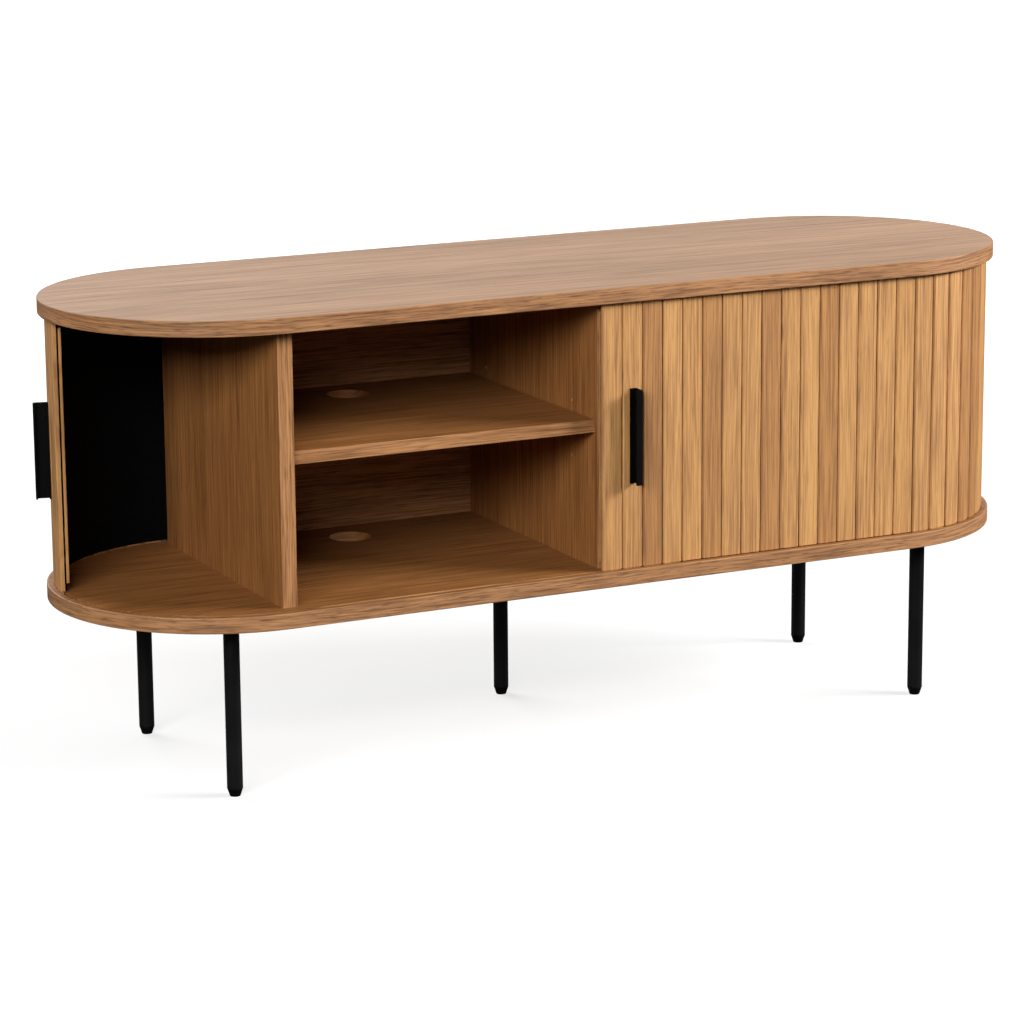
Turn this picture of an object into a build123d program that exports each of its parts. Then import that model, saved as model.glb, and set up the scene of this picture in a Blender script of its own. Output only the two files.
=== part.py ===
from build123d import *
from math import cos, degrees, pi, radians, sin
import os

# Low oval TV stand with two slatted sliding doors that run round the ends.
# Millimetres. Origin on the floor under the middle of the boards, +X to the right end,
# +Y to the back, +Z up.

# Overall size
LENGTH = 1200.0
DEPTH = 400.0
LEG_HEIGHT = 200.0
BOARD = 18.0
INNER_HEIGHT = 310.0
EDGE_BAND = 2.0
EDGE_ROUND = 1.2
END_RADIUS = DEPTH / 2
END_CENTRE = LENGTH / 2 - END_RADIUS
FLOOR_Z = LEG_HEIGHT + BOARD
CEILING_Z = FLOOR_Z + INNER_HEIGHT
MIDDLE_Z = (FLOOR_Z + CEILING_Z) / 2

# Uprights, backs and shelves
DIVIDER = 18.0
DIVIDER_FRONT = -176.0
DIVIDER_BACK = 176.0
BACK_PANEL = 16.0
SHELF = 15.0
SHELF_TOP_Z = 391.5
SHELF_FRONT = -170.0
SHELF_SIDE_GAP = 0.5
PANEL_ROUND = 0.5
DIVIDER_CENTRES = {
    "left_divider": -END_CENTRE + DIVIDER / 2,
    "centre_divider": 0.0,
    "right_divider": END_CENTRE - DIVIDER / 2,
}
BAY_LOW = DIVIDER / 2
BAY_HIGH = END_CENTRE - DIVIDER
BAY_CENTRE = (BAY_LOW + BAY_HIGH) / 2
CABLE_HOLE_RADIUS = 25.0
CABLE_HOLE_Y = 105.0

# Doors: flat slats on a textile, with the textile on the inside of the curve
SLAT_PITCH = 26.0
SLAT_WIDTH = 24.4
SLAT_THICK = 5.0
SLAT_BEVEL = 1.2
SLAT_COUNT = 26
SLAT_END_GAP = 0.8
TEXTILE = 1.2
TEXTILE_GAP = 0.05
TEXTILE_END_GAP = 2.0
TRACK_RADIUS = 187.0
TONGUE_LENGTH = 5.6
TONGUE_THICK = 3.4
TONGUE_WIDTH = 20.0
GROOVE_DEPTH = 6.6
GROOVE_INNER = 186.7
GROOVE_OUTER = 192.3
LEFT_OPEN_ANGLE = radians(92.0)
RIGHT_LEADING_X = -11.0
LEFT_GUIDED = 11
LEFT_TAIL_LAST = 23
RIGHT_STRAIGHT = 4
RIGHT_ARC_FIRST = 16

# Stiffening batten behind each leading slat
BATTEN_WIDTH = 20.0
BATTEN_THICK = 4.0
BATTEN_GAP = 0.5
BATTEN_END_GAP = 10.0
BATTEN_BEVEL = 0.8

# Handles: upright channels screwed to the second slat, open towards the leading edge
HANDLE_HEIGHT = 110.0
HANDLE_DEPTH = 17.0
HANDLE_WIDTH = 8.0
HANDLE_WALL = 1.8
HANDLE_ROUND = 0.8
HANDLE_SCREW_SPACING = 80.0
HANDLE_SCREW_RADIUS = 1.5
HANDLE_SCREW_HEAD_RADIUS = 2.1
HANDLE_SCREW_HEAD = 1.8
HANDLE_SCREW_END_GAP = 0.2

# Legs
LEG_RADIUS = 9.0
LEG_WALL = 1.5
LEG_X = 447.0
LEG_Y = 139.0
CENTRE_LEG_Y = 98.0
FOOT_HEIGHT = 9.0
FOOT_TIP_RADIUS = 6.0
FOOT_SPIGOT = 14.0
PLATE = 2.5
PLATE_SIDE = 60.0
PLATE_ROUND = 8.0
PLATE_HOLE_SPACING = 42.0
SCREW_RADIUS = 2.0
SCREW_HEAD_RADIUS = 4.0
SCREW_HEAD = 2.2
SCREW_HEAD_ROUND = 1.4
SCREW_DEPTH = 12.0
CROSS_LENGTH = 4.0
CROSS_WIDTH = 1.0
CROSS_DEPTH = 1.2
FIT_GAP = 0.1

# Fixings between the boards and the uprights
DOWEL_RADIUS = 4.0
DOWEL_LENGTH = 30.0
DOWEL_DEPTH = 9.5
DOWEL_END_GAP = 0.5
DOWEL_YS = (-120.0, 0.0, 120.0)
CONFIRMAT_RADIUS = 3.0
CONFIRMAT_HEAD_RADIUS = 4.5
CONFIRMAT_LENGTH = 50.0
CONFIRMAT_HEAD = 3.0
CONFIRMAT_HEX_RADIUS = 2.0
CONFIRMAT_HEX_DEPTH = 2.0
CONFIRMAT_END_GAP = 1.0
CONFIRMAT_YS = (-60.0, 60.0)
BACK_CONFIRMAT_OFFSET = 100.0
PIN_RADIUS = 2.5
PIN_DEPTH = 9.0
PIN_COLLAR_RADIUS = 4.0
PIN_COLLAR = 7.0
PIN_END_GAP = 0.3
PIN_SPACING = 32.0
PIN_YS = (-113.0, 113.0)
PIN_Z = SHELF_TOP_Z - SHELF - PIN_COLLAR_RADIUS

LEG_PLACES = {
    "leg_front_left": (-LEG_X, -LEG_Y),
    "leg_front_right": (LEG_X, -LEG_Y),
    "leg_back_left": (-LEG_X, LEG_Y),
    "leg_back_right": (LEG_X, LEG_Y),
    "leg_centre": (0.0, CENTRE_LEG_Y),
}


def save(shape, node):
    export_step(shape, f"parts/{node}.step")


def group(shapes):
    return Compound(children=list(shapes))


def stadium(radius, low_z, height):
    """An upright oval prism about the two end centres."""
    outline = SlotCenterToCenter(2 * END_CENTRE, 2 * radius)
    return Pos(0, 0, low_z) * extrude(outline, height)


def upright_cylinder(radius, x, y, low_z, height):
    return Pos(x, y, low_z + height / 2) * Cylinder(radius, height)


def box(low, high):
    size = [b - a for a, b in zip(low, high)]
    centre = [(a + b) / 2 for a, b in zip(low, high)]
    return Pos(*centre) * Box(*size)


# ---------------------------------------------------------------- boards
def groove(low_z):
    """The oval track that both doors run in."""
    return stadium(GROOVE_OUTER, low_z, GROOVE_DEPTH) - stadium(GROOVE_INNER, low_z, GROOVE_DEPTH)


def edge_band(low_z):
    outer = stadium(END_RADIUS, low_z, BOARD)
    levels = outer.edges().group_by(Axis.Z)
    outer = fillet(levels[0] + levels[-1], EDGE_ROUND)
    return outer - stadium(END_RADIUS - EDGE_BAND, low_z, BOARD)


def dowel_places():
    return [(x, y) for x in DIVIDER_CENTRES.values() for y in DOWEL_YS]


def confirmat_places():
    back_y = DIVIDER_BACK - BACK_PANEL / 2
    uprights = [(x, y) for x in DIVIDER_CENTRES.values() for y in CONFIRMAT_YS]
    back_xs = (BAY_CENTRE - BACK_CONFIRMAT_OFFSET, BAY_CENTRE + BACK_CONFIRMAT_OFFSET)
    backs = [(side * x, back_y) for side in (-1, 1) for x in back_xs]
    return uprights + backs


def plate_hole_places():
    half = PLATE_HOLE_SPACING / 2
    corners = [(a * half, b * half) for a in (-1, 1) for b in (-1, 1)]
    return [(x + a, y + b) for x, y in LEG_PLACES.values() for a, b in corners]


def make_top_board():
    board = stadium(END_RADIUS - EDGE_BAND, CEILING_Z, BOARD) - groove(CEILING_Z)
    for x, y in dowel_places():
        board -= upright_cylinder(DOWEL_RADIUS + FIT_GAP, x, y, CEILING_Z, DOWEL_DEPTH)
    return board


def make_bottom_board():
    board = stadium(END_RADIUS - EDGE_BAND, LEG_HEIGHT, BOARD) - groove(FLOOR_Z - GROOVE_DEPTH)
    for x, y in dowel_places():
        board -= upright_cylinder(DOWEL_RADIUS + FIT_GAP, x, y, FLOOR_Z - DOWEL_DEPTH, DOWEL_DEPTH)
    for side in (-1, 1):
        x = side * BAY_CENTRE
        board -= upright_cylinder(CABLE_HOLE_RADIUS, x, CABLE_HOLE_Y, LEG_HEIGHT, BOARD)
    for x, y in confirmat_places():
        board -= upright_cylinder(CONFIRMAT_RADIUS + FIT_GAP, x, y, LEG_HEIGHT, BOARD)
        board -= upright_cylinder(
            CONFIRMAT_HEAD_RADIUS + FIT_GAP, x, y, LEG_HEIGHT, CONFIRMAT_HEAD + FIT_GAP
        )
    for x, y in plate_hole_places():
        board -= upright_cylinder(SCREW_RADIUS + FIT_GAP, x, y, LEG_HEIGHT, SCREW_DEPTH + FIT_GAP)
    return board


def make_dowels():
    low_z = FLOOR_Z - DOWEL_DEPTH + DOWEL_END_GAP
    high_z = CEILING_Z + DOWEL_DEPTH - DOWEL_END_GAP - DOWEL_LENGTH
    return group(
        upright_cylinder(DOWEL_RADIUS, x, y, z, DOWEL_LENGTH)
        for z in (low_z, high_z)
        for x, y in dowel_places()
    )


def make_confirmat_screws():
    screws = []
    for x, y in confirmat_places():
        screw = upright_cylinder(CONFIRMAT_HEAD_RADIUS, x, y, LEG_HEIGHT, CONFIRMAT_HEAD)
        screw += upright_cylinder(CONFIRMAT_RADIUS, x, y, LEG_HEIGHT, CONFIRMAT_LENGTH)
        socket = extrude(RegularPolygon(CONFIRMAT_HEX_RADIUS, 6), CONFIRMAT_HEX_DEPTH)
        screw -= Pos(x, y, LEG_HEIGHT) * socket
        screws.append(screw)
    return group(screws)


# ---------------------------------------------------------------- uprights, backs, shelves
def confirmat_reach():
    """How deep a hole for a confirmat screw goes into an upright, above the floor of the bays."""
    return CONFIRMAT_LENGTH - BOARD + CONFIRMAT_END_GAP


def make_divider(centre_x):
    half = DIVIDER / 2
    panel = box((centre_x - half, DIVIDER_FRONT, FLOOR_Z), (centre_x + half, DIVIDER_BACK, CEILING_Z))
    panel = fillet(panel.edges().filter_by(Axis.Z).group_by(Axis.Y)[0], PANEL_ROUND)
    socket = DOWEL_LENGTH - DOWEL_DEPTH + 2 * DOWEL_END_GAP
    for y in DOWEL_YS:
        panel -= upright_cylinder(DOWEL_RADIUS + FIT_GAP, centre_x, y, FLOOR_Z, socket)
        panel -= upright_cylinder(DOWEL_RADIUS + FIT_GAP, centre_x, y, CEILING_Z - socket, socket)
    for y in CONFIRMAT_YS:
        panel -= upright_cylinder(
            CONFIRMAT_RADIUS + FIT_GAP, centre_x, y, FLOOR_Z, confirmat_reach()
        )
    for face_x, into in pin_faces():
        if abs(face_x - centre_x) > DIVIDER:
            continue
        for y in PIN_YS:
            for row in (-1, 0, 1):
                z = PIN_Z + row * PIN_SPACING
                panel -= pin_cylinder(
                    PIN_RADIUS + FIT_GAP, face_x, into, y, z, PIN_DEPTH + PIN_END_GAP
                )
    return panel


def pin_faces():
    """Faces with shelf pins: the face's x and the direction into the panel."""
    return (
        (-BAY_HIGH, -1),
        (-BAY_LOW, 1),
        (BAY_LOW, -1),
        (BAY_HIGH, 1),
    )


def pin_cylinder(radius, face_x, into, y, z, length):
    """A level cylinder that starts on the face and runs the given way along X."""
    middle = face_x + into * length / 2
    return Pos(middle, y, z) * Rot(0, 90, 0) * Cylinder(radius, length)


def make_shelf_pins(side):
    pins = []
    for face_x, into in pin_faces():
        if face_x * side < 0:
            continue
        for y in PIN_YS:
            pin = pin_cylinder(PIN_RADIUS, face_x, into, y, PIN_Z, PIN_DEPTH)
            pin += pin_cylinder(PIN_COLLAR_RADIUS, face_x, -into, y, PIN_Z, PIN_COLLAR)
            pins.append(pin)
    return group(pins)


def make_back_panel(side):
    xs = sorted((side * BAY_LOW, side * BAY_HIGH))
    panel = box((xs[0], DIVIDER_BACK - BACK_PANEL, FLOOR_Z), (xs[1], DIVIDER_BACK, CEILING_Z))
    for x, y in confirmat_places():
        if xs[0] < x < xs[1]:
            panel -= upright_cylinder(
                CONFIRMAT_RADIUS + FIT_GAP, x, y, FLOOR_Z, confirmat_reach()
            )
    return panel


def make_shelf(side):
    xs = sorted((side * (BAY_LOW + SHELF_SIDE_GAP), side * (BAY_HIGH - SHELF_SIDE_GAP)))
    back_y = DIVIDER_BACK - BACK_PANEL - SHELF_SIDE_GAP
    shelf = box((xs[0], SHELF_FRONT, SHELF_TOP_Z - SHELF), (xs[1], back_y, SHELF_TOP_Z))
    shelf = fillet(shelf.edges().filter_by(Axis.X).group_by(Axis.Y)[0], PANEL_ROUND)
    x = side * BAY_CENTRE
    return shelf - upright_cylinder(CABLE_HOLE_RADIUS, x, CABLE_HOLE_Y, SHELF_TOP_Z - SHELF, SHELF)


# ---------------------------------------------------------------- legs
def make_leg(x, y):
    height = LEG_HEIGHT - PLATE - FOOT_HEIGHT
    tube = upright_cylinder(LEG_RADIUS, x, y, FOOT_HEIGHT, height)
    bore = upright_cylinder(LEG_RADIUS - LEG_WALL, x, y, FOOT_HEIGHT, height - LEG_WALL)
    return tube - bore


def make_leg_plates():
    plates = []
    half = PLATE_SIDE / 2
    for x, y in LEG_PLACES.values():
        plate = box((x - half, y - half, LEG_HEIGHT - PLATE), (x + half, y + half, LEG_HEIGHT))
        plate = fillet(plate.edges().filter_by(Axis.Z), PLATE_ROUND)
        for hole_x, hole_y in plate_hole_places():
            if abs(hole_x - x) < half and abs(hole_y - y) < half:
                plate -= upright_cylinder(
                    SCREW_RADIUS + 2 * FIT_GAP, hole_x, hole_y, LEG_HEIGHT - PLATE, PLATE
                )
        plates.append(plate)
    return group(plates)


def make_leg_screws():
    screws = []
    for x, y in plate_hole_places():
        low_z = LEG_HEIGHT - PLATE
        screw = upright_cylinder(SCREW_RADIUS, x, y, low_z, PLATE + SCREW_DEPTH)
        head = upright_cylinder(SCREW_HEAD_RADIUS, x, y, low_z - SCREW_HEAD, SCREW_HEAD)
        head = fillet(head.edges().group_by(Axis.Z)[0], SCREW_HEAD_ROUND)
        cross_z = low_z - SCREW_HEAD + CROSS_DEPTH / 2
        cross = Pos(x, y, cross_z) * Box(CROSS_LENGTH, CROSS_WIDTH, CROSS_DEPTH)
        cross += Pos(x, y, cross_z) * Box(CROSS_WIDTH, CROSS_LENGTH, CROSS_DEPTH)
        screws.append(screw + head - cross)
    return group(screws)


def make_leg_feet():
    feet = []
    for x, y in LEG_PLACES.values():
        cone = Pos(x, y, FOOT_HEIGHT / 2) * Cone(FOOT_TIP_RADIUS, LEG_RADIUS, FOOT_HEIGHT)
        spigot_radius = LEG_RADIUS - LEG_WALL - FIT_GAP
        feet.append(cone + upright_cylinder(spigot_radius, x, y, FOOT_HEIGHT, FOOT_SPIGOT))
    return group(feet)


# ---------------------------------------------------------------- doors
def track_place(run, side, leading_x):
    """Where the track is at a distance from the closed leading edge, for the door on one side.

    The track is straight along the front, turns half a circle about the end centre and
    comes back straight along the back. Gives x, y and the turn about Z in radians.
    """
    front = END_CENTRE - leading_x
    arc = pi * TRACK_RADIUS
    if run < front:
        x, y, turn = leading_x + run, -TRACK_RADIUS, 0.0
    elif run < front + arc:
        turn = (run - front) / TRACK_RADIUS
        x = END_CENTRE + TRACK_RADIUS * sin(turn)
        y = -TRACK_RADIUS * cos(turn)
    else:
        x, y, turn = END_CENTRE - (run - front - arc), TRACK_RADIUS, pi
    return side * x, y, side * turn


def on_track(shape, run, side, leading_x):
    x, y, turn = track_place(run, side, leading_x)
    return Pos(x, y, 0) * Rot(0, 0, degrees(turn)) * shape


def slat(guided):
    """One slat at x = 0 with its inner face on y = 0 and its outer face towards -Y."""
    half = SLAT_WIDTH / 2
    outer = -SLAT_THICK
    profile = Polyline(
        (-half, 0),
        (half, 0),
        (half, outer + SLAT_BEVEL),
        (half - SLAT_BEVEL, outer),
        (-half + SLAT_BEVEL, outer),
        (-half, outer + SLAT_BEVEL),
        close=True,
    )
    low_z = FLOOR_Z + SLAT_END_GAP
    height = INNER_HEIGHT - 2 * SLAT_END_GAP
    body = Pos(0, 0, low_z) * extrude(make_face(profile), height, dir=(0, 0, 1))
    if guided:
        middle = -SLAT_THICK / 2
        low = (-TONGUE_WIDTH / 2, middle - TONGUE_THICK / 2)
        high = (TONGUE_WIDTH / 2, middle + TONGUE_THICK / 2)
        body += box((*low, low_z - TONGUE_LENGTH), (*high, low_z))
        body += box((*low, low_z + height), (*high, low_z + height + TONGUE_LENGTH))
    return body


def screw_heights():
    half = HANDLE_SCREW_SPACING / 2
    return (MIDDLE_Z - half, MIDDLE_Z + half)


def drill_handle_holes(shape):
    for z in screw_heights():
        shape -= Pos(0, -SLAT_THICK / 2, z) * Rot(90, 0, 0) * Cylinder(
            HANDLE_SCREW_RADIUS + FIT_GAP, SLAT_THICK
        )
    return shape


def make_slats(first, last, side, leading_x, guided, start=0.0):
    """Slats first to last - 1 of one door, counted from its leading edge."""
    slats = []
    for index in range(first, last):
        body = slat(guided)
        if index == 1:
            body = drill_handle_holes(body)
        slats.append(on_track(body, start + (index + 0.5) * SLAT_PITCH, side, leading_x))
    return group(slats) if len(slats) > 1 else slats[0]


def make_batten(side, leading_x, start):
    low_z = FLOOR_Z + BATTEN_END_GAP
    high_z = CEILING_Z - BATTEN_END_GAP
    inner = TEXTILE + TEXTILE_GAP + BATTEN_GAP
    # In the slat's own frame the leading edge is at -x on the right door and +x on the left.
    leading = -side * SLAT_WIDTH / 2
    xs = sorted((leading, leading + side * BATTEN_WIDTH))
    bar = box((xs[0], inner, low_z), (xs[1], inner + BATTEN_THICK, high_z))
    bar = chamfer(bar.edges().filter_by(Axis.Z).group_by(Axis.Y)[-1], BATTEN_BEVEL)
    return on_track(bar, start + SLAT_PITCH / 2, side, leading_x)


def make_handle(side, leading_x, start):
    """A channel open towards the leading edge: flange on the slat, web, outer lip."""
    low_z = MIDDLE_Z - HANDLE_HEIGHT / 2
    half = HANDLE_WIDTH / 2
    face = -SLAT_THICK
    block = box((-half, face - HANDLE_DEPTH, low_z), (half, face, low_z + HANDLE_HEIGHT))
    block = fillet(block.edges().filter_by(Axis.Z).group_by(Axis.Y)[0], HANDLE_ROUND)
    # The hollow opens at -x on the right door and at +x on the left door.
    past = 1.0
    open_x = -side * (half + past)
    web_x = side * (half - HANDLE_WALL)
    xs = sorted((open_x, web_x))
    hollow = box(
        (xs[0], face - HANDLE_DEPTH + HANDLE_WALL, low_z - past),
        (xs[1], face - HANDLE_WALL, low_z + HANDLE_HEIGHT + past),
    )
    channel = block - hollow
    for z in screw_heights():
        channel -= Pos(0, face - HANDLE_WALL / 2, z) * Rot(90, 0, 0) * Cylinder(
            HANDLE_SCREW_RADIUS + FIT_GAP, HANDLE_WALL
        )
    return on_track(channel, start + 1.5 * SLAT_PITCH, side, leading_x)


def make_handle_screws(side, leading_x, start):
    screws = []
    face = -SLAT_THICK - HANDLE_WALL
    length = SLAT_THICK + HANDLE_WALL - HANDLE_SCREW_END_GAP
    for z in screw_heights():
        shaft = Pos(0, face + length / 2, z) * Rot(90, 0, 0) * Cylinder(HANDLE_SCREW_RADIUS, length)
        head = Pos(0, face - HANDLE_SCREW_HEAD / 2, z) * Rot(90, 0, 0) * Cylinder(
            HANDLE_SCREW_HEAD_RADIUS, HANDLE_SCREW_HEAD
        )
        screws.append(on_track(shaft + head, start + 1.5 * SLAT_PITCH, side, leading_x))
    return group(screws)


def textile_ring(low_z, height):
    outer = TRACK_RADIUS - TEXTILE_GAP
    return stadium(outer, low_z, height) - stadium(outer - TEXTILE, low_z, height)


def make_textile(side, leading_x, start):
    """The cloth that joins a door's slats, in the place it has with the door at rest."""
    low_z = FLOOR_Z + TEXTILE_END_GAP
    height = INNER_HEIGHT - 2 * TEXTILE_END_GAP
    reach = SLAT_COUNT * SLAT_PITCH
    ring = textile_ring(low_z, height)
    if side > 0:
        # Closed door: straight along the front, then round the front quarter.
        front = END_CENTRE - leading_x
        end_turn = (reach - front) / TRACK_RADIUS
        strip = box((leading_x, -DEPTH / 2, low_z), (END_CENTRE, 0, low_z + height))
        wedge = arc_wedge(END_CENTRE, -pi / 2, -pi / 2 + end_turn, low_z, height)
        return ring & (strip + wedge)
    # Open door: round the back quarter, then straight along the back.
    on_arc = pi * TRACK_RADIUS - TRACK_RADIUS * LEFT_OPEN_ANGLE
    tail_x = -END_CENTRE + (reach - on_arc)
    strip = box((-END_CENTRE, 0, low_z), (tail_x, DEPTH / 2, low_z + height))
    wedge = arc_wedge(-END_CENTRE, pi / 2, 1.5 * pi - LEFT_OPEN_ANGLE, low_z, height)
    return ring & (strip + wedge)


def arc_wedge(centre_x, start, end, low_z, height):
    """A pie slice about an end centre, between two angles from +X."""
    reach = DEPTH
    middle = (start + end) / 2
    points = [(centre_x + reach * cos(a), reach * sin(a)) for a in (start, middle, end)]
    outline = Polyline((centre_x, 0), *points, close=True)
    return Pos(0, 0, low_z) * extrude(make_face(outline), height, dir=(0, 0, 1))


# ---------------------------------------------------------------- write every node
os.makedirs("parts", exist_ok=True)

save(make_top_board(), "top_board")
save(make_bottom_board(), "bottom_board")
save(edge_band(CEILING_Z), "top_edge_band")
save(edge_band(LEG_HEIGHT), "bottom_edge_band")
save(make_dowels(), "dowels")
save(make_confirmat_screws(), "confirmat_screws")

for divider_name, divider_x in DIVIDER_CENTRES.items():
    save(make_divider(divider_x), divider_name)

for side_name, side_sign in (("left", -1), ("right", 1)):
    save(make_back_panel(side_sign), f"{side_name}_back_panel")
    save(make_shelf(side_sign), f"{side_name}_shelf")
    save(make_shelf_pins(side_sign), f"{side_name}_shelf_pins")

for leg_name, leg_place in LEG_PLACES.items():
    save(make_leg(*leg_place), leg_name)
save(make_leg_plates(), "leg_plates")
save(make_leg_screws(), "leg_screws")
save(make_leg_feet(), "leg_feet")

# Left door, stored open: its leading edge stands a little behind the left end.
LEFT_START = END_CENTRE + TRACK_RADIUS * LEFT_OPEN_ANGLE
save(make_slats(0, LEFT_GUIDED, -1, 0.0, True, LEFT_START), "left_door_slats")
for first in range(LEFT_GUIDED, LEFT_TAIL_LAST, 2):
    pair = make_slats(first, first + 2, -1, 0.0, False, LEFT_START)
    save(pair, f"left_tail_slats_{(first - LEFT_GUIDED) // 2 + 1}")
save(make_slats(LEFT_TAIL_LAST, SLAT_COUNT, -1, 0.0, True, LEFT_START), "left_end_slats")
save(make_batten(-1, 0.0, LEFT_START), "left_leading_batten")
save(make_handle(-1, 0.0, LEFT_START), "left_handle")
save(make_handle_screws(-1, 0.0, LEFT_START), "left_handle_screws")
save(make_textile(-1, 0.0, LEFT_START), "left_door_textile")

# Right door, stored closed: its leading edge just covers the centre divider.
save(make_slats(0, RIGHT_STRAIGHT, 1, RIGHT_LEADING_X, True), "right_door_slats")
for index in range(RIGHT_STRAIGHT, RIGHT_ARC_FIRST):
    one = make_slats(index, index + 1, 1, RIGHT_LEADING_X, False)
    save(one, f"right_middle_slat_{index - RIGHT_STRAIGHT + 1:02d}")
save(make_slats(RIGHT_ARC_FIRST, SLAT_COUNT, 1, RIGHT_LEADING_X, True), "right_end_slats")
save(make_batten(1, RIGHT_LEADING_X, 0.0), "right_leading_batten")
save(make_handle(1, RIGHT_LEADING_X, 0.0), "right_handle")
save(make_handle_screws(1, RIGHT_LEADING_X, 0.0), "right_handle_screws")
save(make_textile(1, RIGHT_LEADING_X, 0.0), "right_door_textile")
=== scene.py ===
import math

import bmesh
import bpy
from mathutils import Matrix, Vector


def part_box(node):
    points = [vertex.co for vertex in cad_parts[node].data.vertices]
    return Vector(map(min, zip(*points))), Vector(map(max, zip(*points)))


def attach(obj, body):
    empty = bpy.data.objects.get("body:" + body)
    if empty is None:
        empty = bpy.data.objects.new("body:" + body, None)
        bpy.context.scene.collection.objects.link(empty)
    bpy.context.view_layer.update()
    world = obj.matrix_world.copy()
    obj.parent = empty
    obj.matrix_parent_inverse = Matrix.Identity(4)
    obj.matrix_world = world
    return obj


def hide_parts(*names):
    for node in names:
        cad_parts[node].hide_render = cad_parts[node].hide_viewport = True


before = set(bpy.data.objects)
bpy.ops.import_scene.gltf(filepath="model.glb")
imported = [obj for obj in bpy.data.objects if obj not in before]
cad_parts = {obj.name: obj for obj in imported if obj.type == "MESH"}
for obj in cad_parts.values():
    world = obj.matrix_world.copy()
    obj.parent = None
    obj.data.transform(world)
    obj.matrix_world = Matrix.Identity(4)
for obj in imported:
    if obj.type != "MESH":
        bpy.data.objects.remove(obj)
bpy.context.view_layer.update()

# ---------------------------------------------------------------- sizes taken from the frame
BOARD_LOW, BOARD_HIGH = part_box("top_edge_band")
LENGTH = BOARD_HIGH.x - BOARD_LOW.x
END_RADIUS = (BOARD_HIGH.y - BOARD_LOW.y) / 2
END_CENTRE = LENGTH / 2 - END_RADIUS
FLOOR_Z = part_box("bottom_board")[1].z
CEILING_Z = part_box("top_board")[0].z
TRACK_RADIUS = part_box("left_end_slats")[0].y
SLAT_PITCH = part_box("right_middle_slat_02")[0].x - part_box("right_middle_slat_01")[0].x

# Slats of each door, from its leading edge: rigid front part, then pairs or single slats, then the rest
SLAT_COUNT = 26
LEFT_DOOR_SLATS = 11
LEFT_PAIRS = 6
RIGHT_DOOR_SLATS = 4
RIGHT_SINGLES = 12

# Where the doors' leading edges are at rest, as distances along the track from the middle of the front.
# At rest the left door's slats are left of DOOR_SPLIT, and the right door's are right of it.
LEFT_OPEN_ANGLE = math.radians(92.0)
LEFT_START = END_CENTRE + TRACK_RADIUS * LEFT_OPEN_ANGLE
RIGHT_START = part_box("right_middle_slat_01")[0].x - RIGHT_DOOR_SLATS * SLAT_PITCH
DOOR_SPLIT = -END_CENTRE / 4

# Slats of each door whose foil is dark or middling, counted from the leading edge; the rest are light
DARK_SLATS = (2, 5, 8, 11, 19, 20, 23)
MIDDLE_SLATS = (0, 1, 4, 15, 22)
DARK_TONE = 0.90
MIDDLE_TONE = 0.25
LIGHT_TONE = 0.05


# ---------------------------------------------------------------- shader helpers
class Nodes:
    """One material's shader nodes. An input is given as a number, a colour or another node's output."""

    def __init__(self, name):
        self.material = bpy.data.materials.new(name)
        self.material.use_nodes = True
        self.tree = self.material.node_tree
        self.tree.nodes.clear()

    def add(self, kind, inputs=(), **settings):
        node = self.tree.nodes.new("ShaderNode" + kind)
        for key, value in settings.items():
            setattr(node, key, value)
        for key, value in dict(inputs).items():
            self.feed(node.inputs[key], value)
        return node

    def feed(self, socket, value):
        if isinstance(value, bpy.types.NodeSocket):
            self.tree.links.new(value, socket)
        else:
            socket.default_value = value

    def math(self, operation, *values, clamp=False):
        node = self.add("Math", enumerate(values), operation=operation, use_clamp=clamp)
        return node.outputs[0]

    def place(self, x, y, z):
        return self.add("CombineXYZ", {0: x, 1: y, 2: z}).outputs[0]

    def noise(self, vector, scale=1.0, detail=2.0, roughness=0.5):
        inputs = {"Vector": vector, "Scale": scale, "Detail": detail, "Roughness": roughness}
        return self.add("TexNoise", inputs).outputs["Fac"]

    def spread(self, value, low, high, to_low=0.0, to_high=1.0, smooth=False):
        """value from low..high to to_low..to_high, held at both ends."""
        inputs = {"Value": value, "From Min": low, "From Max": high, "To Min": to_low, "To Max": to_high}
        kind = "SMOOTHSTEP" if smooth else "LINEAR"
        return self.add("MapRange", inputs, interpolation_type=kind, clamp=True).outputs["Result"]

    def mix(self, factor, a, b, blend="MIX"):
        node = self.add("Mix", data_type="RGBA", blend_type=blend)
        self.feed(node.inputs[0], factor)
        self.feed(node.inputs[6], a)
        self.feed(node.inputs[7], b)
        return node.outputs[2]

    def steps(self, factor, values):
        """A grey value for each equal step of factor from 0 to 1."""
        node = self.add("ValToRGB", {"Fac": factor})
        node.color_ramp.interpolation = "CONSTANT"
        elements = node.color_ramp.elements
        for index, value in enumerate(values):
            position = index / len(values)
            element = elements[index] if index < 2 else elements.new(position)
            element.position = position
            element.color = (value, value, value, 1.0)
        return self.add("RGBToBW", {0: node.outputs["Color"]}).outputs[0]

    def finish(self, colour, roughness, height=None, bump=(0.3, 0.0003), **constants):
        """The Principled shader: bump is (strength, distance), and constants are set on its sockets."""
        shader = self.add("BsdfPrincipled", {"Base Color": colour, "Roughness": roughness})
        for key, value in constants.items():
            shader.inputs[key.replace("_", " ")].default_value = value
        if height is not None:
            inputs = {"Strength": bump[0], "Distance": bump[1], "Height": height}
            self.feed(shader.inputs["Normal"], self.add("Bump", inputs).outputs[0])
        output = self.add("OutputMaterial")
        self.tree.links.new(shader.outputs[0], output.inputs["Surface"])
        return self.material


def rest_place(nodes):
    """x, y and z of a point of the object at rest, in metres."""
    node = nodes.add("SeparateXYZ", {0: nodes.add("TexCoord").outputs["Object"]})
    return node.outputs[0], node.outputs[1], node.outputs[2]


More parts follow.
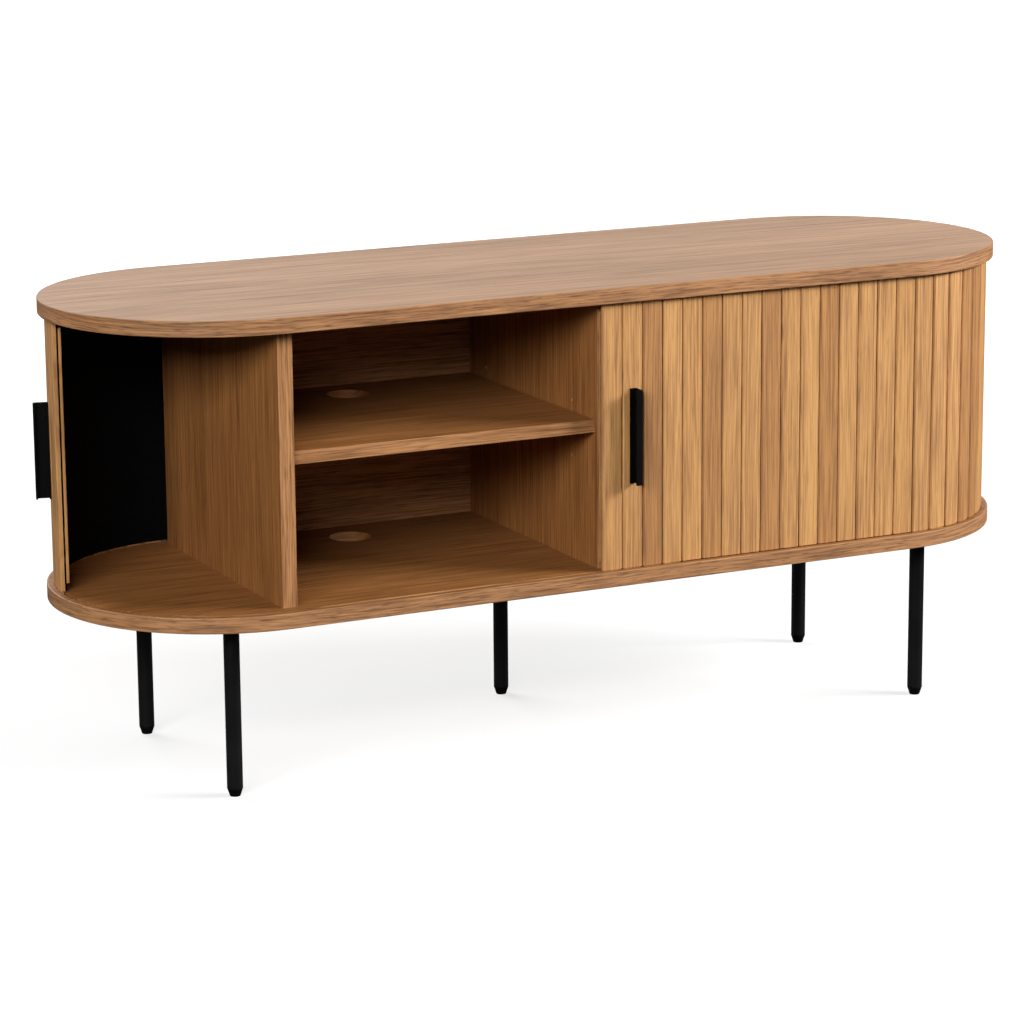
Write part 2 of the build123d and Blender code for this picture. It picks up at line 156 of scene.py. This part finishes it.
def rest_normal(nodes):
    """x, y and z of the surface's direction at rest."""
    node = nodes.add("SeparateXYZ", {0: nodes.add("TexCoord").outputs["Normal"]})
    return node.outputs[0], node.outputs[1], node.outputs[2]


def track_distance(nodes, x, y):
    """Distance along the oval track from the middle of the front, negative on the left side."""
    across = nodes.math("ABSOLUTE", x)
    straight = nodes.math("MINIMUM", across, END_CENTRE)
    beyond = nodes.math("MAXIMUM", nodes.math("SUBTRACT", across, END_CENTRE), 0.0)
    angle = nodes.math("ARCTAN2", beyond, nodes.math("MULTIPLY", y, -1.0))
    run_in = nodes.math("SUBTRACT", straight, END_CENTRE)
    run_in = nodes.math("MULTIPLY", run_in, nodes.math("SIGN", nodes.math("MULTIPLY", y, -1.0)))
    total = nodes.math("MULTIPLY_ADD", angle, TRACK_RADIUS, END_CENTRE)
    total = nodes.math("ADD", total, run_in)
    return nodes.math("MULTIPLY", total, nodes.math("SIGN", x))


# ---------------------------------------------------------------- oak
# Layers of the figure: repeats per metre along and across the grain, detail and roughness
SLOW_WAVES = (2.2, 9.0, 2.0, 0.5)
FIGURE = (1.1, 7.0, 1.0, 0.4)
WIDE_STREAKS = (3.5, 90.0, 4.0, 0.62)
FINE_STREAKS = (13.0, 430.0, 3.0, 0.6)
PORE_DASHES = (42.0, 620.0, 1.0, 0.5)
WAVE_WIDTH = 0.012
RING_COUNT = 17.0
RING_SHARPNESS = 2.2


def oak(nodes, along, across, depth, light, dark, pore, rings=0.5, streaks=0.5, pores=0.5, stretch=1.0):
    """Colour, height and shade of oak foil, from metres along the grain, across it and into it."""
    def grain(layer, side):
        lengthwise, crosswise, detail, roughness = layer
        place = nodes.place(nodes.math("MULTIPLY", along, lengthwise * stretch),
                            nodes.math("MULTIPLY", side, crosswise),
                            nodes.math("MULTIPLY", depth, crosswise))
        return nodes.noise(place, detail=detail, roughness=roughness)

    slow = grain(SLOW_WAVES, across)
    bent = nodes.math("MULTIPLY_ADD", slow, WAVE_WIDTH, across)

    # Growth rings: contour lines of a slow noise that is stretched along the grain
    contours = nodes.math("MULTIPLY", grain(FIGURE, bent), RING_COUNT)
    ring = nodes.math("POWER", nodes.math("FRACT", contours), RING_SHARPNESS)

    # Streaks from some millimetres down to one millimetre wide, and pores as short dark dashes
    wide = grain(WIDE_STREAKS, bent)
    fine = grain(FINE_STREAKS, bent)
    dash = nodes.spread(grain(PORE_DASHES, bent), 0.56, 0.72)

    shade = nodes.math("MULTIPLY_ADD", ring, 0.30 * rings, 0.02 - 0.10 * rings - 2.35 * streaks)
    shade = nodes.math("MULTIPLY_ADD", wide, 1.3 * streaks, shade)
    shade = nodes.math("MULTIPLY_ADD", fine, 3.4 * streaks, shade)
    shade = nodes.math("MULTIPLY_ADD", slow, 0.8, shade, clamp=True)
    colour = nodes.mix(shade, light, dark)
    colour = nodes.mix(nodes.math("MULTIPLY", dash, pores), colour, pore)
    height = nodes.math("SUBTRACT", nodes.math("MULTIPLY", fine, 0.5), nodes.math("MULTIPLY", dash, 0.8))
    return colour, height, shade


def sheen(nodes, shade, low=0.52, high=0.62):
    """Foil is a little duller where the print is dark."""
    return nodes.spread(shade, 0.0, 1.0, low, high)


BOARD_LIGHT = (0.395, 0.196, 0.074, 1.0)
BOARD_DARK = (0.195, 0.092, 0.030, 1.0)
BOARD_PORE = (0.090, 0.038, 0.014, 1.0)
# The panels' foil colours: the foil's own print plus painted shade of the inner bays, so darker and redder
# than the board's
PANEL_LIGHT_PAINTED_SHADE = (0.385, 0.164, 0.050, 1.0)
PANEL_DARK_PAINTED_SHADE = (0.150, 0.054, 0.013, 1.0)
PANEL_PORE_PAINTED_SHADE = (0.080, 0.028, 0.007, 1.0)
EDGE_LIGHT = (0.495, 0.240, 0.100, 1.0)
EDGE_DARK = (0.180, 0.075, 0.027, 1.0)
EDGE_PORE = (0.070, 0.028, 0.010, 1.0)
SLAT_LIGHT = (0.700, 0.368, 0.130, 1.0)
SLAT_DARK = (0.330, 0.148, 0.052, 1.0)
SLAT_PORE = (0.170, 0.070, 0.024, 1.0)
SLAT_DARKER = (0.72, 0.64, 0.60, 1.0)
SLAT_WARMER = (0.55, 0.29, 0.11, 1.0)

# Metres by which the edge bands' grain is moved, so that it doesn't repeat the faces'
BAND_SHIFT = 3.0
FRONT_SHIFT = 7.0

# Distance in the noise between neighbouring slats and between the doors, and the most along the grain
SLAT_SHIFT = 3.17
DOOR_SHIFT = 61.0
LENGTHWISE_SHIFT = 9.0

# Pin knots: cells per metre across and along the grain, the random value above which a cell has a knot,
# the radius of its core and of its rim as a part of a cell, and how dark it is
KNOTS_ACROSS = 34.0
KNOTS_ALONG = 7.0
KNOT_THRESHOLD = 0.72
KNOT_CORE = 0.04
KNOT_RIM = 0.13
KNOT_SHADE = 0.75


def board_foil(nodes, x, y, z):
    return oak(nodes, x, y, z, BOARD_LIGHT, BOARD_DARK, BOARD_PORE,
               rings=0.5, streaks=0.85, pores=0.3, stretch=0.5)


def board_material():
    """The faces of the top board: grain along the length."""
    nodes = Nodes("oak_board_foil")
    x, y, z = rest_place(nodes)
    colour, height, shade = board_foil(nodes, x, y, z)
    return nodes.finish(colour, sheen(nodes, shade), height, Specular_IOR_Level=0.5)


def edge_material():
    """The edge band: grain round the board, with short dark dashes. Its upper edge continues the board."""
    nodes = Nodes("oak_edge_band")
    x, y, z = rest_place(nodes)
    run = track_distance(nodes, x, y)
    side, height, shade = oak(nodes, run, nodes.math("ADD", z, BAND_SHIFT), 0.0,
                              EDGE_LIGHT, EDGE_DARK, EDGE_PORE,
                              rings=0.2, streaks=0.85, pores=0.6, stretch=1.2)
    face = board_foil(nodes, x, y, z)[0]
    upward = nodes.spread(rest_normal(nodes)[2], 0.55, 0.85)
    colour = nodes.mix(upward, side, face)
    return nodes.finish(colour, sheen(nodes, shade), height, Specular_IOR_Level=0.45)


def panel_material(name, upright):
    """The bottom board, the dividers, the shelf and the back, with an edge band on their front edges.
    Their foil colours are partly the foil's own print and partly painted shade of the inner bays, so they
    are darker and redder than the top board's.
    """
    nodes = Nodes(name)
    x, y, z = rest_place(nodes)
    normal_y = rest_normal(nodes)[1]
    front = nodes.spread(nodes.math("MULTIPLY", normal_y, -1.0), 0.6, 0.8)
    if upright:
        along, across, side = z, nodes.math("MULTIPLY_ADD", x, 3.0, y), x
    else:
        along, across, side = x, nodes.math("ADD", y, z), z
    face, face_height, shade = oak(nodes, along, across, 0.0, PANEL_LIGHT_PAINTED_SHADE, PANEL_DARK_PAINTED_SHADE, PANEL_PORE_PAINTED_SHADE,
                                   rings=0.15, streaks=0.75, pores=0.4, stretch=0.6)
    edge, edge_height, _ = oak(nodes, along, nodes.math("ADD", side, FRONT_SHIFT), 0.0,
                               EDGE_LIGHT, EDGE_DARK, EDGE_PORE,
                               rings=0.2, streaks=0.85, pores=0.5, stretch=0.8)
    colour = nodes.mix(front, face, edge)
    height = nodes.math("ADD", nodes.math("MULTIPLY", edge_height, front),
                        nodes.math("MULTIPLY", face_height, nodes.math("SUBTRACT", 1.0, front)))
    return nodes.finish(colour, sheen(nodes, shade), height, Specular_IOR_Level=0.15)


def slat_tones():
    """How dark each slat's foil is, from 0 to 1."""
    tones = [LIGHT_TONE] * SLAT_COUNT
    for index in MIDDLE_SLATS:
        tones[index] = MIDDLE_TONE
    for index in DARK_SLATS:
        tones[index] = DARK_TONE
    return tones


def slat_material():
    """The doors' slats: upright grain, and a tone and a figure of its own on each slat."""
    nodes = Nodes("oak_slat_foil")
    x, y, z = rest_place(nodes)
    run = track_distance(nodes, x, y)

    # Which door, which slat from its leading edge, and how far across the slat
    left = nodes.math("LESS_THAN", run, DOOR_SPLIT)
    from_right = nodes.math("SUBTRACT", run, RIGHT_START)
    from_left = nodes.math("SUBTRACT", nodes.math("MULTIPLY", run, -1.0), LEFT_START)
    distance = nodes.math("ADD", nodes.math("MULTIPLY", from_left, left),
                          nodes.math("MULTIPLY", from_right, nodes.math("SUBTRACT", 1.0, left)))
    index = nodes.math("FLOOR", nodes.math("DIVIDE", distance, SLAT_PITCH))
    across = nodes.math("SUBTRACT", distance, nodes.math("MULTIPLY", index, SLAT_PITCH))
    tone = nodes.steps(nodes.math("DIVIDE", nodes.math("ADD", index, 0.5), SLAT_COUNT), slat_tones())
    door_key = nodes.math("MULTIPLY", left, DOOR_SHIFT)
    key = nodes.math("ADD", nodes.math("MULTIPLY", index, SLAT_SHIFT), door_key)
    chance = nodes.add("TexWhiteNoise", {"W": key}, noise_dimensions="1D").outputs["Value"]
    along = nodes.math("ADD", z, nodes.math("MULTIPLY", chance, LENGTHWISE_SHIFT))
    colour, height, shade = oak(nodes, along, nodes.math("ADD", across, key), 0.0,
                                SLAT_LIGHT, SLAT_DARK, SLAT_PORE,
                                rings=0.15, streaks=0.9, pores=0.3, stretch=0.8)

    # A pin knot on some slats
    knot_place = nodes.place(nodes.math("MULTIPLY", across, KNOTS_ACROSS),
                             nodes.math("MULTIPLY_ADD", z, KNOTS_ALONG, key), key)
    spot = nodes.add("TexVoronoi", {"Vector": knot_place, "Scale": 1.0}, feature="F1")
    chosen = nodes.add("SeparateXYZ", {0: spot.outputs["Color"]}).outputs[0]
    picked = nodes.math("GREATER_THAN", chosen, KNOT_THRESHOLD)
    near = nodes.spread(spot.outputs["Distance"], KNOT_CORE, KNOT_RIM, 1.0, 0.0, smooth=True)
    knot = nodes.math("MULTIPLY", near, picked)

    darker = nodes.mix(tone, colour, SLAT_DARKER, "MULTIPLY")
    warm = nodes.mix(nodes.math("MULTIPLY", chance, 0.18), darker, SLAT_WARMER)
    knotted = nodes.mix(nodes.math("MULTIPLY", knot, KNOT_SHADE), warm, SLAT_PORE)
    return nodes.finish(knotted, sheen(nodes, shade), height, Specular_IOR_Level=0.4)


# ---------------------------------------------------------------- metal, plastic, cloth and plain wood
POWDER_BLACK = (0.0046, 0.0046, 0.0048, 1.0)
SATIN_BLACK = (0.0012, 0.0012, 0.0012, 1.0)
PLASTIC_BLACK = (0.0030, 0.0030, 0.0031, 1.0)
ZINC_DARK = (0.52, 0.53, 0.54, 1.0)
ZINC_LIGHT = (0.70, 0.71, 0.72, 1.0)
BEECH_LIGHT = (0.66, 0.46, 0.27, 1.0)
BEECH_DARK = (0.50, 0.31, 0.16, 1.0)
BEECH_PORE = (0.34, 0.19, 0.09, 1.0)
CLOTH_DARK = (0.0010, 0.0010, 0.0011, 1.0)
CLOTH_LIGHT = (0.0032, 0.0032, 0.0034, 1.0)
THREAD_PITCH = 0.0011


def coat_material(name, colour, roughness, peel_scale):
    """Black powder coat or moulded plastic, with a fine orange-peel surface."""
    nodes = Nodes(name)
    x, y, z = rest_place(nodes)
    place = nodes.place(x, y, z)
    peel = nodes.noise(place, scale=peel_scale, detail=2.0)
    cloud = nodes.noise(place, scale=25.0, detail=3.0)
    lighter = tuple(2.2 * channel for channel in colour[:3]) + (1.0,)
    mixed = nodes.mix(nodes.spread(cloud, 0.3, 0.75, 0.0, 0.5), colour, lighter)
    rough = nodes.spread(cloud, 0.3, 0.7, roughness - 0.05, roughness + 0.07)
    return nodes.finish(mixed, rough, peel, bump=(0.25, 0.0002), Specular_IOR_Level=0.08)


def zinc_material():
    """Zinc-plated steel of the shelf pins and screws."""
    nodes = Nodes("zinc_steel")
    x, y, z = rest_place(nodes)
    cloud = nodes.noise(nodes.place(x, y, z), scale=380.0, detail=3.0)
    colour = nodes.mix(nodes.spread(cloud, 0.3, 0.7), ZINC_DARK, ZINC_LIGHT)
    rough = nodes.spread(cloud, 0.3, 0.7, 0.28, 0.42)
    return nodes.finish(colour, rough, cloud, bump=(0.15, 0.0001), Metallic=1.0)


def beech_material():
    """Plain beech of the dowels."""
    nodes = Nodes("beech_dowel")
    x, y, z = rest_place(nodes)
    across = nodes.math("ADD", x, y)
    colour, height, shade = oak(nodes, z, across, 0.0, BEECH_LIGHT, BEECH_DARK, BEECH_PORE,
                                rings=0.3, streaks=0.4, pores=0.3)
    return nodes.finish(colour, sheen(nodes, shade, 0.6, 0.75), height)


def textile_material():
    """Black plain-weave cloth with a slightly uneven coating."""
    nodes = Nodes("black_backing_cloth")
    x, y, z = rest_place(nodes)
    run = track_distance(nodes, x, y)
    threads = 2.0 * math.pi / THREAD_PITCH
    warp = nodes.math("SINE", nodes.math("MULTIPLY", run, threads))
    weft = nodes.math("SINE", nodes.math("MULTIPLY", z, threads))
    weave = nodes.math("MULTIPLY", warp, weft)
    patch = nodes.noise(nodes.place(run, z, 0.0), scale=160.0, detail=4.0, roughness=0.6)
    height = nodes.math("ADD", nodes.math("MULTIPLY", weave, 0.3), patch)
    colour = nodes.mix(nodes.spread(patch, 0.35, 0.7), CLOTH_DARK, CLOTH_LIGHT)
    rough = nodes.spread(patch, 0.3, 0.7, 0.72, 0.9)
    return nodes.finish(colour, rough, height, bump=(0.5, 0.0004), Specular_IOR_Level=0.06)


# ---------------------------------------------------------------- meshes
def new_piece(name, mesh_builder, material):
    mesh = bpy.data.meshes.new(name)
    bm = bmesh.new()
    mesh_builder(bm)
    bmesh.ops.recalc_face_normals(bm, faces=bm.faces)
    bm.to_mesh(mesh)
    bm.free()
    mesh.materials.append(material)
    piece = bpy.data.objects.new(name, mesh)
    bpy.context.scene.collection.objects.link(piece)
    return piece


def track_point(run, radius):
    """A point at a distance along the right half of the track, on a line at that radius."""
    arc = math.pi * TRACK_RADIUS
    if run < END_CENTRE:
        return Vector((run, -radius, 0.0))
    if run < END_CENTRE + arc:
        angle = (run - END_CENTRE) / TRACK_RADIUS
        return Vector((END_CENTRE + radius * math.sin(angle), -radius * math.cos(angle), 0.0))
    return Vector((2 * END_CENTRE + arc - run, radius, 0.0))


# The cloth's distance behind the slats, its thickness, the space above and below it, the length of one
# facet, and how far a strip's ends stop short of the next strip at its outer and at its inner face
CLOTH_GAP = 0.00005
CLOTH_THICK = 0.0012
CLOTH_END_GAP = 0.002
CLOTH_STEP = 0.004
CLOTH_SLIT = 0.00003
CLOTH_MITRE = 0.00022


def cloth_strip(first, last, start, side):
    """The backing cloth behind slats first to last - 1: a thin band that follows the track.

    Its ends are mitred, so that two strips don't meet where the track bends.
    """
    low, high = FLOOR_Z + CLOTH_END_GAP, CEILING_Z - CLOTH_END_GAP
    length = (last - first) * SLAT_PITCH
    count = max(2, round(length / CLOTH_STEP))
    outer = TRACK_RADIUS - CLOTH_GAP
    inner = outer - CLOTH_THICK

    def build(bm):
        rings = []
        for step in range(count + 1):
            run = start + first * SLAT_PITCH + length * step / count
            inward = {0: 1, count: -1}.get(step, 0)
            section = []
            for radius, z, inset in ((outer, low, CLOTH_SLIT), (outer, high, CLOTH_SLIT),
                                     (inner, high, CLOTH_MITRE), (inner, low, CLOTH_MITRE)):
                point = track_point(run + inward * inset, radius)
                section.append(bm.verts.new((side * point.x, point.y, z)))
            rings.append(section)
        for a, b in zip(rings, rings[1:]):
            for k in range(4):
                bm.faces.new((a[k], a[(k + 1) % 4], b[(k + 1) % 4], b[k]))
        bm.faces.new(rings[0])
        bm.faces.new(rings[-1])

    return build


def make_cloth(material):
    """Each group of slats carries its own length of the cloth, so that it moves with them."""
    left_end = LEFT_DOOR_SLATS + 2 * LEFT_PAIRS
    right_end = RIGHT_DOOR_SLATS + RIGHT_SINGLES
    groups = [("left_door", "left_door_slats", 0, LEFT_DOOR_SLATS),
              ("left_end", "left_end_slats", left_end, SLAT_COUNT),
              ("right_door", "right_door_slats", 0, RIGHT_DOOR_SLATS),
              ("right_end", "right_end_slats", right_end, SLAT_COUNT)]
    for n in range(LEFT_PAIRS):
        first = LEFT_DOOR_SLATS + 2 * n
        groups.append((f"left_tail_{n + 1}", f"left_tail_slats_{n + 1}", first, first + 2))
    for n in range(RIGHT_SINGLES):
        first = RIGHT_DOOR_SLATS + n
        groups.append((f"right_middle_{n + 1:02d}", f"right_middle_slat_{n + 1:02d}", first, first + 1))
    for body, slats, first, last in groups:
        start, side = (LEFT_START, -1) if body.startswith("left") else (RIGHT_START, 1)
        piece = new_piece(f"{body}_backing_cloth", cloth_strip(first, last, start, side), material)
        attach(piece, body)
        if body in ("left_door", "right_door"):
            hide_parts(f"{body}_textile")


# ---------------------------------------------------------------- finishes of the CAD nodes
def dress_frame(cloth):
    board = board_material()
    edge = edge_material()
    # The panels' colours carry painted shade of the inner bays
    upright = panel_material("oak_upright_panel_painted_shade", True)
    level = panel_material("oak_level_panel_painted_shade", False)
    slat = slat_material()
    metal = coat_material("black_powder_coat", POWDER_BLACK, 0.50, 1500.0)
    satin = coat_material("black_satin_coat", SATIN_BLACK, 0.55, 1500.0)
    plastic = coat_material("black_plastic", PLASTIC_BLACK, 0.60, 2400.0)
    zinc = zinc_material()
    beech = beech_material()

    # The first entry whose text is in a node's name gives its finish
    finishes = (
        ("edge_band", edge), ("top_board", board), ("board", level), ("divider", upright),
        ("batten", slat), ("back_panel", level), ("shelf_pins", zinc), ("shelf", level),
        ("handle", satin), ("screws", zinc), ("dowels", beech), ("feet", plastic),
        ("leg", metal), ("slat", slat), ("textile", cloth),
    )
    for name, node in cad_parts.items():
        material = next(finish for part, finish in finishes if part in name)
        node.data.materials.clear()
        node.data.materials.append(material)


# ---------------------------------------------------------------- studio
FLOOR_RADIUS = 30.0
FLOOR_DARK = (0.36, 0.36, 0.36, 1.0)
FLOOR_LIGHT = (0.38, 0.38, 0.38, 1.0)
WHITE = (1.0, 1.0, 1.0, 1.0)

# The floor's glow grows from the first strength to the second between these distances from the middle
GLOW_FROM, GLOW_TO = 1.0, 4.5
GLOW_NEAR, GLOW_FAR = 0.64, 1.02


def make_floor():
    """A pale floor that glows to white away from the object, and doesn't light the object itself."""
    nodes = Nodes("studio_floor")
    x, y, z = rest_place(nodes)
    from_middle = nodes.add("VectorMath", {0: nodes.place(x, y, 0.0)}, operation="LENGTH")
    distance = from_middle.outputs["Value"]
    cloud = nodes.noise(nodes.place(x, y, z), scale=2.0, detail=2.0)
    colour = nodes.mix(cloud, FLOOR_DARK, FLOOR_LIGHT)
    glow = nodes.spread(distance, GLOW_FROM, GLOW_TO, GLOW_NEAR, GLOW_FAR, smooth=True)
    inputs = {"Base Color": colour, "Roughness": 0.9, "Specular IOR Level": 0.0,
              "Emission Color": WHITE, "Emission Strength": glow}
    shader = nodes.add("BsdfPrincipled", inputs)
    output = nodes.add("OutputMaterial")
    nodes.tree.links.new(shader.outputs[0], output.inputs["Surface"])

    def disc(bm):
        bmesh.ops.create_circle(bm, cap_ends=True, segments=96, radius=FLOOR_RADIUS)

    floor = new_piece("floor", disc, nodes.material)
    floor.visible_diffuse = False
    floor.visible_glossy = False


MIDDLE = (0.0, 0.0, 0.35)
ABOVE = (0.0, 0.0, 1.0)

# Name, place, the point it faces, width and height, and watts.
# The last one stands for the light that the floor throws up under the stand.
LIGHTS = (
    ("right", (3.6, -2.0, 2.15), MIDDLE, (1.8, 1.2), 252.0),
    ("left", (-2.75, -2.80, 1.95), MIDDLE, (2.6, 1.0), 146.0),
    ("overhead", (0.0, 0.4, 3.0), MIDDLE, (3.0, 1.6), 12.0),
    ("back", (-1.0, 3.4, 2.8), MIDDLE, (2.6, 2.0), 108.0),
    ("behind", (1.8, 3.6, 1.45), MIDDLE, (4.0, 2.0), 52.0),
    ("behind left", (-2.3, 3.4, 1.2), MIDDLE, (1.6, 1.6), 11.0),
    ("floor bounce", (0.0, 0.0, 0.01), ABOVE, (1.6, 0.8), 1.0),
)
AMBIENT = 0.05


def soft_light(name, place, target, size, watts):
    light = bpy.data.lights.new(name, "AREA")
    light.shape = "RECTANGLE"
    light.size, light.size_y = size
    light.energy = watts
    lamp = bpy.data.objects.new(name, light)
    bpy.context.scene.collection.objects.link(lamp)
    lamp.location = place
    lamp.rotation_mode = "QUATERNION"
    lamp.rotation_quaternion = (Vector(target) - Vector(place)).to_track_quat("-Z", "Y")
    lamp.visible_camera = False


def make_lights():
    world = bpy.data.worlds.new("studio")
    world.use_nodes = True
    background = world.node_tree.nodes["Background"]
    background.inputs["Color"].default_value = WHITE
    background.inputs["Strength"].default_value = AMBIENT
    bpy.context.scene.world = world
    for light in LIGHTS:
        soft_light(*light)


CAMERA_PLACE = (-1.861, -3.718, 1.202)
CAMERA_HEADING = math.radians(-26.2)
CAMERA_DIP = math.radians(12.92)
CAMERA_ROLL = math.radians(-0.44)
CAMERA_LENS = 126.15
CAMERA_SENSOR = 36.0


def make_camera():
    camera = bpy.data.cameras.new("camera")
    camera.lens = CAMERA_LENS
    camera.sensor_width = CAMERA_SENSOR
    eye = bpy.data.objects.new("camera", camera)
    bpy.context.scene.collection.objects.link(eye)
    heading = Matrix.Rotation(CAMERA_HEADING, 4, "Z")
    dip = Matrix.Rotation(math.pi / 2 - CAMERA_DIP, 4, "X")
    roll = Matrix.Rotation(CAMERA_ROLL, 4, "Z")
    eye.matrix_world = Matrix.Translation(CAMERA_PLACE) @ heading @ dip @ roll
    bpy.context.scene.camera = eye


make_camera()
make_lights()
make_floor()
cloth_finish = textile_material()
dress_frame(cloth_finish)
make_cloth(cloth_finish)
bpy.context.scene.view_settings.view_transform = "Standard"
